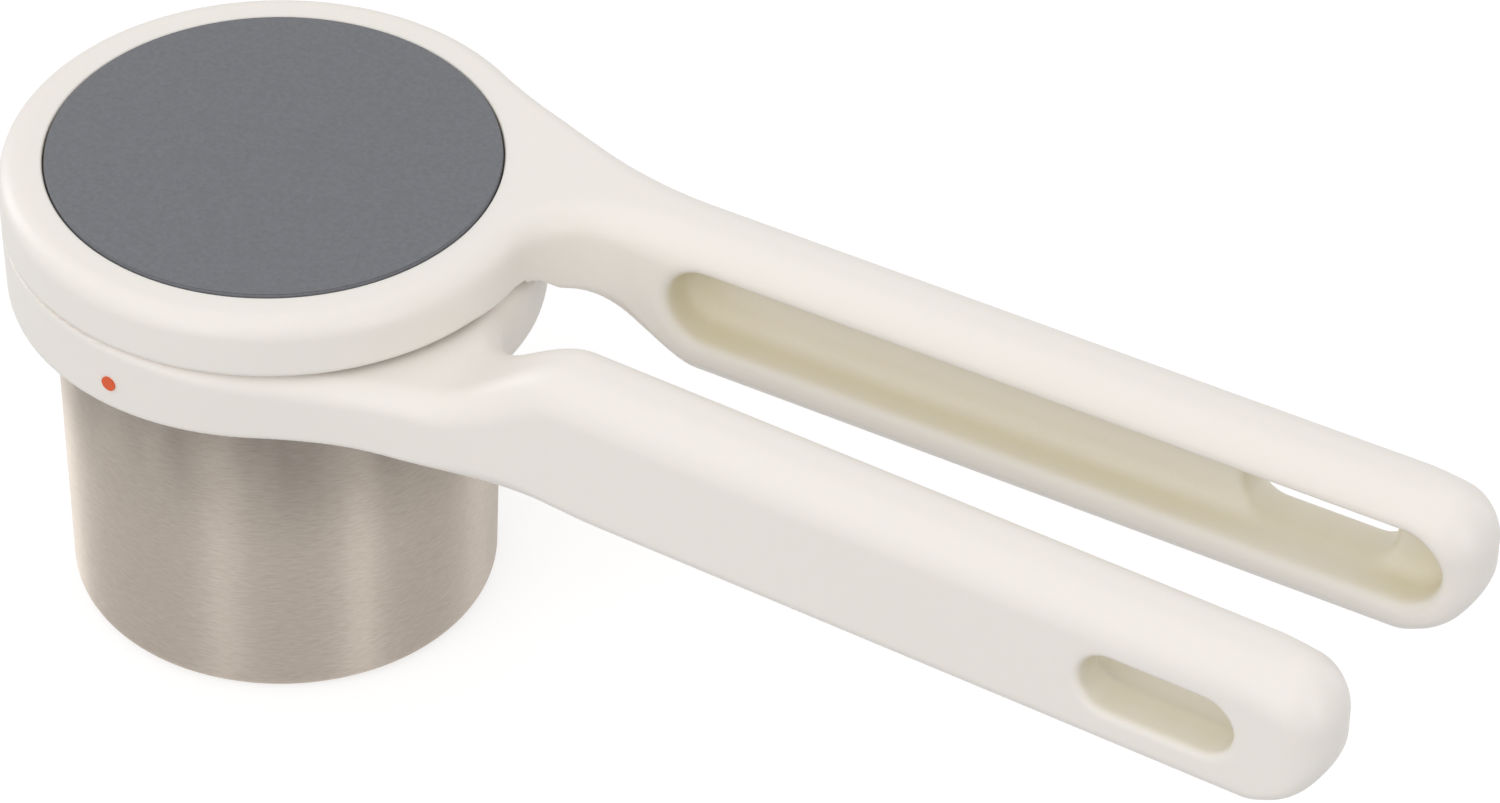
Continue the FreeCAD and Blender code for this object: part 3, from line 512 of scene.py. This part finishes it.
# ---------------------------------------------------------------------------------------------
# Collar ring with the lower grip: the same ivory ABS. Its bore holds the basket's rim on a ledge, and
# three helical lugs inside the bore run in the grooves of the twist drum.
# ---------------------------------------------------------------------------------------------
COLLAR_BOTTOM, COLLAR_TOP = 72.7, 87.9
COLLAR_LOW_RADIUS = 52.5
COLLAR_ROUND, SHOULDER_ROUND = 0.9, 5.0
NECK_TOP = 86.8
COLLAR_BORE, LEDGE_BORE, LEDGE_TOP = 47.8, 45.0, 76.5
LOWER = {"side": -1.0, "inner": 12.0, "outer": 30.2, "length": 245.3}
LOWER_DROP_FROM, LOWER_DROP_TO = 38.0, 92.0
SHOULDER_FALL_TO, LOWER_RISE_FROM, LOWER_RISE_TO = 50.0, 55.0, 83.0
SHOULDER_FROM = -15.0
DRAFT_FROM, DRAFT_TO = 20.0, 60.0
LEAD = 180.0
LUG = {"tip": 38.4, "root": 48.6, "start": 78.6, "height": 5.0, "rise": 3.4}
TAB_RADIUS, TAB_HALF_ANGLE = 47.4, 13.0
PASSAGE_PLAY, PASSAGE_PLAY_ANGLE = 0.4, 1.5
BORE_EDGE = 0.8


def lower_low(along):
    return blend(along, LOWER_DROP_FROM, LOWER_DROP_TO, COLLAR_BOTTOM, GRIP_BOTTOM)


def lower_high(along):
    shoulder = blend(along, 0.0, SHOULDER_FALL_TO, COLLAR_TOP, NECK_TOP)
    return blend(along, LOWER_RISE_FROM, LOWER_RISE_TO, shoulder, GRIP_TOP)


def lower_field(along, out, up):
    low_round = blend(along, ROUND_FROM, ROUND_TO, RIM_ROUND, GRIP_ROUND)
    shoulder_round = blend(along, SHOULDER_FROM, SHOULDER_FALL_TO, COLLAR_ROUND, SHOULDER_ROUND)
    high_round = blend(along, ROUND_FROM, ROUND_TO, shoulder_round, GRIP_ROUND)
    drop = np.clip((COLLAR_TOP - up) / (COLLAR_TOP - COLLAR_BOTTOM), 0.0, 1.0)
    draft = (RING_RADIUS - COLLAR_LOW_RADIUS) * drop * (1.0 - ease(along, DRAFT_FROM, DRAFT_TO))
    return grip_solid(along, out, up, LOWER, lower_low, lower_high, low_round, high_round, draft)


def sector(name, inner, outer, half_angle, low, high, middle, steps=16):
    """Block between two radii, centred on an angle in degrees."""
    corners = []
    for z in (low, high):
        for radius in (inner, outer):
            for k in range(steps + 1):
                angle = math.radians(middle + half_angle * (2.0 * k / steps - 1.0))
                corners.append((radius * math.cos(angle), radius * math.sin(angle), z))
    row = steps + 1
    faces = []
    for k in range(steps):
        a, b, c, d = k, k + 1, row + k + 1, row + k
        faces.append((a, b, c, d))
        faces.append((2 * row + d, 2 * row + c, 2 * row + b, 2 * row + a))
        faces.append((a, 2 * row + a, 2 * row + b, b))
        faces.append((d, c, 2 * row + c, 2 * row + d))
    faces.append((0, row, 3 * row, 2 * row))
    faces.append((steps, 2 * row + steps, 3 * row + steps, row + steps))
    piece = new_piece(name, corners, faces)
    face_outwards(piece)
    return piece


def lug_bar(name, start_angle, steps=12):
    """Short helical bar that climbs with the lead, rounded on its tip edges."""
    soft = 0.6
    section = [(LUG["tip"], soft), (LUG["tip"] + soft, 0.0), (LUG["root"], 0.0),
               (LUG["root"], LUG["height"]), (LUG["tip"] + soft, LUG["height"]),
               (LUG["tip"], LUG["height"] - soft)]
    corners = []
    for k in range(steps + 1):
        rise = LUG["rise"] * k / steps
        angle = math.radians(start_angle + 360.0 * rise / LEAD)
        for radius, up in section:
            corners.append((radius * math.cos(angle), radius * math.sin(angle), LUG["start"] + rise + up))
    size = len(section)
    faces = [tuple(range(size)), tuple(range(steps * size, steps * size + size))[::-1]]
    for k in range(steps):
        for j in range(size):
            n = (j + 1) % size
            faces.append((k * size + j, (k + 1) * size + j, (k + 1) * size + n, k * size + n))
    piece = new_piece(name, corners, faces)
    face_outwards(piece)
    return piece


lower_shell = grip_shell("lower_shell", lower_field, LOWER, GRIP_BOTTOM, GRIP_TOP)
bore_cut = lathe("bore_cut", [
    (0.0, GRIP_BOTTOM - CUT_REACH),
    (LEDGE_BORE + CUT_REACH, GRIP_BOTTOM - CUT_REACH),
    (LEDGE_BORE + CUT_REACH, COLLAR_BOTTOM - 3.0),
    (LEDGE_BORE + 0.5, COLLAR_BOTTOM),
    (LEDGE_BORE, COLLAR_BOTTOM + 0.5),
    (LEDGE_BORE, LEDGE_TOP),
    (COLLAR_BORE, LEDGE_TOP),
    *arc((COLLAR_BORE + BORE_EDGE, COLLAR_TOP - BORE_EDGE), BORE_EDGE, 180, 90, 5),
    (COLLAR_BORE + BORE_EDGE, GRIP_TOP + CUT_REACH),
    (0.0, GRIP_TOP + CUT_REACH),
])
head_room = lathe("head_room", [
    (COLLAR_BORE - CUT_REACH, COLLAR_TOP + 0.001),
    (RING_RADIUS + RING_CLEARANCE, COLLAR_TOP + 0.001),
    (RING_RADIUS + RING_CLEARANCE, GRIP_TOP + 3.0),
    (COLLAR_BORE - CUT_REACH, GRIP_TOP + 3.0),
])
carve(lower_shell, bore_cut)
carve(lower_shell, head_room)
for k in range(STARTS):
    passage = sector("passage", LEDGE_BORE - 2.0, TAB_RADIUS + PASSAGE_PLAY,
                     TAB_HALF_ANGLE + PASSAGE_PLAY_ANGLE, GRIP_BOTTOM - 1.0, LEDGE_TOP + 0.5,
                     120.0 * k - SPLAY)
    carve(lower_shell, passage)
for k in range(STARTS):
    carve(lower_shell, lug_bar("lug", 120.0 * k - SPLAY), "UNION")
lower_shell.data.materials.clear()
lower_shell.data.materials.append(ivory)
crisp(lower_shell)
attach(lower_shell, "lower")
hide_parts("lower_handle")

# ---------------------------------------------------------------------------------------------
# Grey cap: a slightly domed disc of satin grey plastic, pressed into the seat of the head ring over the
# three screws, its edge rounded.
# ---------------------------------------------------------------------------------------------
CAP_RADIUS, CAP_EDGE_TOP, CAP_DOME = 44.2, 101.25, 0.33
CAP_EDGE_ROUND, CAP_FOOT_BEVEL = 0.8, 0.4
CAP_DOME_RADII = (44.0, 42.0, 38.0, 32.0, 25.0, 18.0, 11.0, 5.0)


def cap_height(radius):
    return CAP_EDGE_TOP + CAP_DOME * (1.0 - (radius / CAP_RADIUS) ** 2)


cap = lathe("grey_cap", [
    (0.0, CAP_SEAT_FLOOR),
    (CAP_RADIUS - CAP_FOOT_BEVEL, CAP_SEAT_FLOOR),
    (CAP_RADIUS, CAP_SEAT_FLOOR + CAP_FOOT_BEVEL),
    *arc((CAP_RADIUS - CAP_EDGE_ROUND, CAP_EDGE_TOP - CAP_EDGE_ROUND), CAP_EDGE_ROUND, 0, 82, 6),
    *[(radius, cap_height(radius)) for radius in CAP_DOME_RADII],
    (0.0, cap_height(0.0)),
])
CAP_GREY_DARK = (0.125, 0.129, 0.142)
CAP_GREY_LIGHT = (0.190, 0.194, 0.212)
grey, tree, shader = plain_material("grey_cap", Roughness=0.5, Specular_IOR_Level=0.4)
grain = object_noise(tree, scale=900.0, detail=6.0, roughness=0.8)
shade = tint(tree, spread(tree, grain, -0.5, 1.5), CAP_GREY_DARK, CAP_GREY_LIGHT)
link(tree, shade, "Result", shader, "Base Color")
texture_finish(tree, shader, grain, 0.42, 0.60, strength=0.5, distance=0.00015)
cap.data.materials.append(grey)
crisp(cap, 40.0)
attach(cap, "upper")
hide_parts("top_disc")

# ---------------------------------------------------------------------------------------------
# Basket: a cup drawn from 0.9 mm stainless sheet, its wall brushed round, its floor punched with rings
# of holes. Three bayonet tabs on the rim rest on the collar's ledge.
# ---------------------------------------------------------------------------------------------
BASKET_LOW_RADIUS, BASKET_TOP_RADIUS, BASKET_TOP = 42.3, 44.0, 77.9
BASKET_WALL, BASKET_CORNER, BASKET_LIP = 0.9, 4.0, 0.25
CORNER_OUT = 0.08
WALL_HEIGHTS = (14.0, 28.0, 42.0, 56.0, 70.0, BASKET_TOP - BASKET_LIP)
FLOOR_RADII = (10.0, 20.0, 30.0)
BASKET_TURN = 35.0 - SPLAY
HOLE_RINGS, HOLE_PITCH, HOLE_RADIUS = 6, 6.0, 1.5
# The punch: its sides, how much wider its foot is than its top, and its depth and drop in sheets.
PUNCH_SIDES, PUNCH_FLARE, PUNCH_DEPTH, PUNCH_DROP = 24, 1.14, 1.6, -0.3
TAB_TOP = 77.7


def wall_points(inset, heights):
    """Points up the slightly flared wall, set in by the sheet's thickness."""
    flare = (BASKET_TOP_RADIUS - BASKET_LOW_RADIUS) / BASKET_TOP
    return [(BASKET_LOW_RADIUS + flare * z - inset, z) for z in heights]


corner = (BASKET_LOW_RADIUS - BASKET_CORNER + CORNER_OUT, BASKET_CORNER)
basket = lathe("steel_basket", [
    (0.0, 0.0),
    *[(radius, 0.0) for radius in FLOOR_RADII],
    *arc(corner, BASKET_CORNER, 270, 359, 9),
    *wall_points(0.0, WALL_HEIGHTS),
    (BASKET_TOP_RADIUS - BASKET_LIP, BASKET_TOP),
    (BASKET_TOP_RADIUS - BASKET_WALL + BASKET_LIP, BASKET_TOP),
    *wall_points(BASKET_WALL, WALL_HEIGHTS[::-1]),
    *arc(corner, BASKET_CORNER - BASKET_WALL, 359, 270, 9),
    *[(radius, BASKET_WALL) for radius in FLOOR_RADII[::-1]],
    (0.0, BASKET_WALL),
])
for k in range(STARTS):
    carve(basket, sector("tab", BASKET_TOP_RADIUS - 0.5, TAB_RADIUS, TAB_HALF_ANGLE, LEDGE_TOP, TAB_TOP,
                         120.0 * k + BASKET_TURN), "UNION")


def times(tree, source, output, factor):
    """A number from a node, multiplied by a fixed factor."""
    multiply = tree.nodes.new("ShaderNodeMath")
    multiply.operation = "MULTIPLY"
    multiply.inputs[1].default_value = factor
    tree.links.new(source.outputs[output], multiply.inputs[0])
    return multiply


def punch_tree(name, material):
    """Geometry nodes that punch rings of holes through a floor and set the finish."""
    tree = bpy.data.node_groups.new(name, "GeometryNodeTree")
    tree.interface.new_socket("Geometry", in_out="INPUT", socket_type="NodeSocketGeometry")
    for label in ("Pitch", "Hole radius", "Sheet"):
        tree.interface.new_socket(label, in_out="INPUT", socket_type="NodeSocketFloat")
    tree.interface.new_socket("Geometry", in_out="OUTPUT", socket_type="NodeSocketGeometry")
    start, end = tree.nodes.new("NodeGroupInput"), tree.nodes.new("NodeGroupOutput")
    gather = tree.nodes.new("GeometryNodeJoinGeometry")
    for ring in range(1, HOLE_RINGS + 1):
        circle = tree.nodes.new("GeometryNodeMeshCircle")
        circle.inputs["Vertices"].default_value = 6 * ring
        link(tree, times(tree, start, "Pitch", float(ring)), "Value", circle, "Radius")
        link(tree, circle, "Mesh", gather, "Geometry")
    punch = tree.nodes.new("GeometryNodeMeshCone")
    punch.inputs["Vertices"].default_value = PUNCH_SIDES
    link(tree, start, "Hole radius", punch, "Radius Top")
    link(tree, times(tree, start, "Hole radius", PUNCH_FLARE), "Value", punch, "Radius Bottom")
    link(tree, times(tree, start, "Sheet", PUNCH_DEPTH), "Value", punch, "Depth")
    offset = tree.nodes.new("ShaderNodeCombineXYZ")
    link(tree, times(tree, start, "Sheet", PUNCH_DROP), "Value", offset, "Z")
    lowered = tree.nodes.new("GeometryNodeTransform")
    link(tree, punch, "Mesh", lowered, "Geometry")
    link(tree, offset, "Vector", lowered, "Translation")
    place = tree.nodes.new("GeometryNodeInstanceOnPoints")
    realize = tree.nodes.new("GeometryNodeRealizeInstances")
    cut = tree.nodes.new("GeometryNodeMeshBoolean")
    cut.operation = "DIFFERENCE"
    finish = tree.nodes.new("GeometryNodeSetMaterial")
    finish.inputs["Material"].default_value = material
    link(tree, gather, "Geometry", place, "Points")
    link(tree, lowered, "Geometry", place, "Instance")
    link(tree, place, "Instances", realize, "Geometry")
    link(tree, start, "Geometry", cut, "Mesh 1")
    link(tree, realize, "Geometry", cut, "Mesh 2")
    link(tree, cut, "Mesh", finish, "Geometry")
    link(tree, finish, "Geometry", end, "Geometry")
    return tree


def set_input(modifier, label, value):
    """Set a modifier's input by the identifier of its socket."""
    for item in modifier.node_group.interface.items_tree:
        if item.item_type == "SOCKET" and item.in_out == "INPUT" and item.name == label:
            modifier[item.identifier] = value


STEEL_LIGHT = (0.540, 0.485, 0.430)
STEEL_DARK = (0.440, 0.380, 0.325)
# Painted shade and reflection: how much darker the wall gets, and the heights over which it darkens towards
# the collar.
STEEL_PAINTED_SHADE, PAINTED_SHADE_FROM, PAINTED_SHADE_TO = 0.50, 32.0, 74.0
steel, tree, shader = plain_material("brushed_steel", Metallic=1.0, Roughness=0.48, Anisotropic=0.9,
                                     Anisotropic_Rotation=0.25)
round_tangent = tree.nodes.new("ShaderNodeTangent")
round_tangent.direction_type = "RADIAL"
round_tangent.axis = "Z"
link(tree, round_tangent, "Tangent", shader, "Tangent")
brushing = object_noise(tree, scale=420.0, detail=4.0, stretch=(1.0, 1.0, 9.0), roughness=0.6)
shade = tint(tree, spread(tree, brushing, -0.9, 1.9), STEEL_DARK, STEEL_LIGHT)
# Painted shade: cloudy patches darken the wall towards its top, under the collar, standing in for the
# collar's dark reflection and shade.
place = tree.nodes.new("ShaderNodeTexCoord")
height = tree.nodes.new("ShaderNodeSeparateXYZ")
link(tree, place, "Object", height, "Vector")
painted_shade_climb = tree.nodes.new("ShaderNodeMapRange")
painted_shade_climb.interpolation_type = "SMOOTHSTEP"
set_ranges(painted_shade_climb, From_Min=PAINTED_SHADE_FROM * MM, From_Max=PAINTED_SHADE_TO * MM)
link(tree, height, "Z", painted_shade_climb, "Value")
painted_shade_cloud = spread(tree, object_noise(tree, scale=38.0, stretch=(1.0, 1.0, 0.35)), -1.0, 2.2)
painted_shade_mask = tree.nodes.new("ShaderNodeMath")
painted_shade_mask.operation = "MULTIPLY"
painted_shade_mask.use_clamp = True
link(tree, painted_shade_climb, "Result", painted_shade_mask, "Value")
tree.links.new(painted_shade_cloud.outputs["Result"], painted_shade_mask.inputs[1])
painted_shade_darken = tree.nodes.new("ShaderNodeMix")
painted_shade_darken.data_type = "RGBA"
painted_shade_darken.blend_type = "MULTIPLY"
painted_shade_darken.inputs["B"].default_value = (*[1.0 - STEEL_PAINTED_SHADE] * 3, 1.0)
link(tree, shade, "Result", painted_shade_darken, "A")
link(tree, painted_shade_mask, "Value", painted_shade_darken, "Factor")
link(tree, painted_shade_darken, "Result", shader, "Base Color")
texture_finish(tree, shader, brushing, 0.38, 0.58, strength=0.6, distance=0.00005)

punch = basket.modifiers.new("punch", "NODES")
punch.node_group = punch_tree("punched_floor", steel)
set_input(punch, "Pitch", HOLE_PITCH * MM)
set_input(punch, "Hole radius", HOLE_RADIUS * MM)
set_input(punch, "Sheet", BASKET_WALL * MM)
bake_modifiers(basket)
crisp(basket)
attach(basket, "lower")
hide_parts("basket")

# ---------------------------------------------------------------------------------------------
# Twist drum and press disc: mouldings in grey-white acetal. The drum is screwed up under the head, and
# three steep grooves in its wall run on the collar's lugs and turn the twist into a lift.
# ---------------------------------------------------------------------------------------------
def finish_nodes(names, material):
    """Give CAD nodes their finish."""
    for name in names:
        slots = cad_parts[name].data.materials
        slots.clear()
        slots.append(material)


ACETAL_DARK, ACETAL_LIGHT = (0.60, 0.585, 0.55), (0.66, 0.645, 0.61)
acetal, tree, shader = plain_material("drive_plastic", Roughness=0.38, Specular_IOR_Level=0.5,
                                      Subsurface_Weight=0.08, Subsurface_Scale=0.003)
flow = object_noise(tree, scale=30.0, detail=4.0, stretch=(1.0, 1.0, 0.4))
shade = tint(tree, spread(tree, flow, 0.0, 1.0), ACETAL_DARK, ACETAL_LIGHT)
link(tree, shade, "Result", shader, "Base Color")
fine = object_noise(tree, scale=1800.0)
texture_finish(tree, shader, fine, 0.32, 0.46, strength=0.12, distance=0.00004)
finish_nodes(("helix_sleeve", "press_disc"), acetal)

# ---------------------------------------------------------------------------------------------
# Index dots: two small orange plugs, one pressed into the collar and one into the head ring. They show
# how the two halves go together.
# ---------------------------------------------------------------------------------------------
DOT_DARK, DOT_LIGHT = (0.68, 0.080, 0.008), (0.74, 0.100, 0.012)
orange, tree, shader = plain_material("index_orange", Roughness=0.45, Specular_IOR_Level=0.4)
speckle = object_noise(tree, scale=900.0)
shade = tint(tree, spread(tree, speckle, 0.0, 1.0), DOT_DARK, DOT_LIGHT)
link(tree, shade, "Result", shader, "Base Color")
texture_finish(tree, shader, speckle, 0.38, 0.52)
finish_nodes(("index_dot_lower", "index_dot_upper"), orange)

# ---------------------------------------------------------------------------------------------
# Hardware: the drum's three screws, and the shoulder screw, nut and washer that the press disc swivels
# on, all in plain steel.
# ---------------------------------------------------------------------------------------------
HARDWARE_DARK, HARDWARE_LIGHT = (0.50, 0.49, 0.47), (0.62, 0.61, 0.59)
hardware, tree, shader = plain_material("hardware_steel", Metallic=1.0, Roughness=0.3)
worn = object_noise(tree, scale=700.0, detail=4.0)
shade = tint(tree, spread(tree, worn, 0.0, 1.0), HARDWARE_DARK, HARDWARE_LIGHT)
link(tree, shade, "Result", shader, "Base Color")
texture_finish(tree, shader, worn, 0.22, 0.42, strength=0.15, distance=0.00005)
finish_nodes(("sleeve_screws", "thrust_washer", "pivot_screw", "pivot_nut"), hardware)

# ---------------------------------------------------------------------------------------------
# Floor, light and camera: a white table that glows a little, a pale dome, one soft key light, and strips
# that only the steel and the gloss pick up.
# ---------------------------------------------------------------------------------------------
FLOOR_REACH = 4000
floor = new_piece("floor", [(-FLOOR_REACH, -FLOOR_REACH, 0), (FLOOR_REACH, -FLOOR_REACH, 0),
                            (FLOOR_REACH, FLOOR_REACH, 0), (-FLOOR_REACH, FLOOR_REACH, 0)], [(0, 1, 2, 3)])
paper, tree, shader = plain_material("lit_white_table", Roughness=0.9, Specular_IOR_Level=0.0,
                                     Emission_Strength=0.62)
shader.inputs["Base Color"].default_value = (0.5, 0.5, 0.5, 1.0)
shader.inputs["Emission Color"].default_value = (1.0, 1.0, 1.0, 1.0)
floor.data.materials.append(paper)
floor.visible_diffuse = False

bpy.context.scene.view_settings.view_transform = "Standard"
world = bpy.data.worlds.new("studio")
world.use_nodes = True
tree = world.node_tree
tree.nodes["Background"].inputs["Color"].default_value = (1.0, 1.0, 1.0, 1.0)
direction = tree.nodes.new("ShaderNodeTexCoord")
height = tree.nodes.new("ShaderNodeSeparateXYZ")
link(tree, direction, "Generated", height, "Vector")
dome = tree.nodes.new("ShaderNodeMapRange")
set_ranges(dome, From_Min=-0.2, From_Max=0.2, To_Min=0.52, To_Max=0.86)
link(tree, height, "Z", dome, "Value")
link(tree, dome, "Result", tree.nodes["Background"], "Strength")
bpy.context.scene.world = world
LIT_POINT = Vector((0.05, 0.0, 0.06))


def soft_box(name, azimuth, elevation, distance, size, power, for_gloss):
    """Rectangular studio light that faces the object from a direction in degrees."""
    turn, lift = math.radians(azimuth), math.radians(elevation)
    flat = math.cos(lift)
    place = Vector((math.cos(turn) * flat, math.sin(turn) * flat, math.sin(lift))) * distance
    lamp = bpy.data.lights.new(name, "AREA")
    lamp.shape = "RECTANGLE"
    lamp.size, lamp.size_y = size
    lamp.energy = power
    box = bpy.data.objects.new(name, lamp)
    box.visible_diffuse = not for_gloss
    box.visible_glossy = for_gloss
    box.location = LIT_POINT + place
    box.rotation_euler = (-place).to_track_quat("-Z", "Y").to_euler()
    bpy.context.scene.collection.objects.link(box)


soft_box("key_box", -90.0, 38.0, 2.2, (2.4, 1.4), 13.0, False)
soft_box("right_strip", -21.0, 10.0, 1.5, (0.14, 1.2), 4.5, True)
soft_box("middle_strip", -88.0, 10.0, 1.5, (0.20, 1.2), 3.2, True)
soft_box("far_right_strip", 51.0, 10.0, 1.5, (0.4, 1.2), 3.0, True)
soft_box("far_left_strip", 178.0, 10.0, 1.5, (0.4, 1.2), 8.0, True)

lens = bpy.data.cameras.new("camera")
lens.sensor_width = 36.0
lens.lens = 168.0
lens.clip_end = 20.0
camera = bpy.data.objects.new("camera", lens)
right = Vector((0.8600, 0.5101, 0.0164)).normalized()
forward = Vector((-0.3857, 0.6708, -0.6334)).normalized()
up = right.cross(forward).normalized()
right = forward.cross(up).normalized()
turn = Matrix((right, up, -forward)).transposed()
camera.matrix_world = Matrix.Translation(Vector((0.6142, -0.8824, 0.9186))) @ turn.to_4x4()
bpy.context.scene.collection.objects.link(camera)
bpy.context.scene.camera = camera
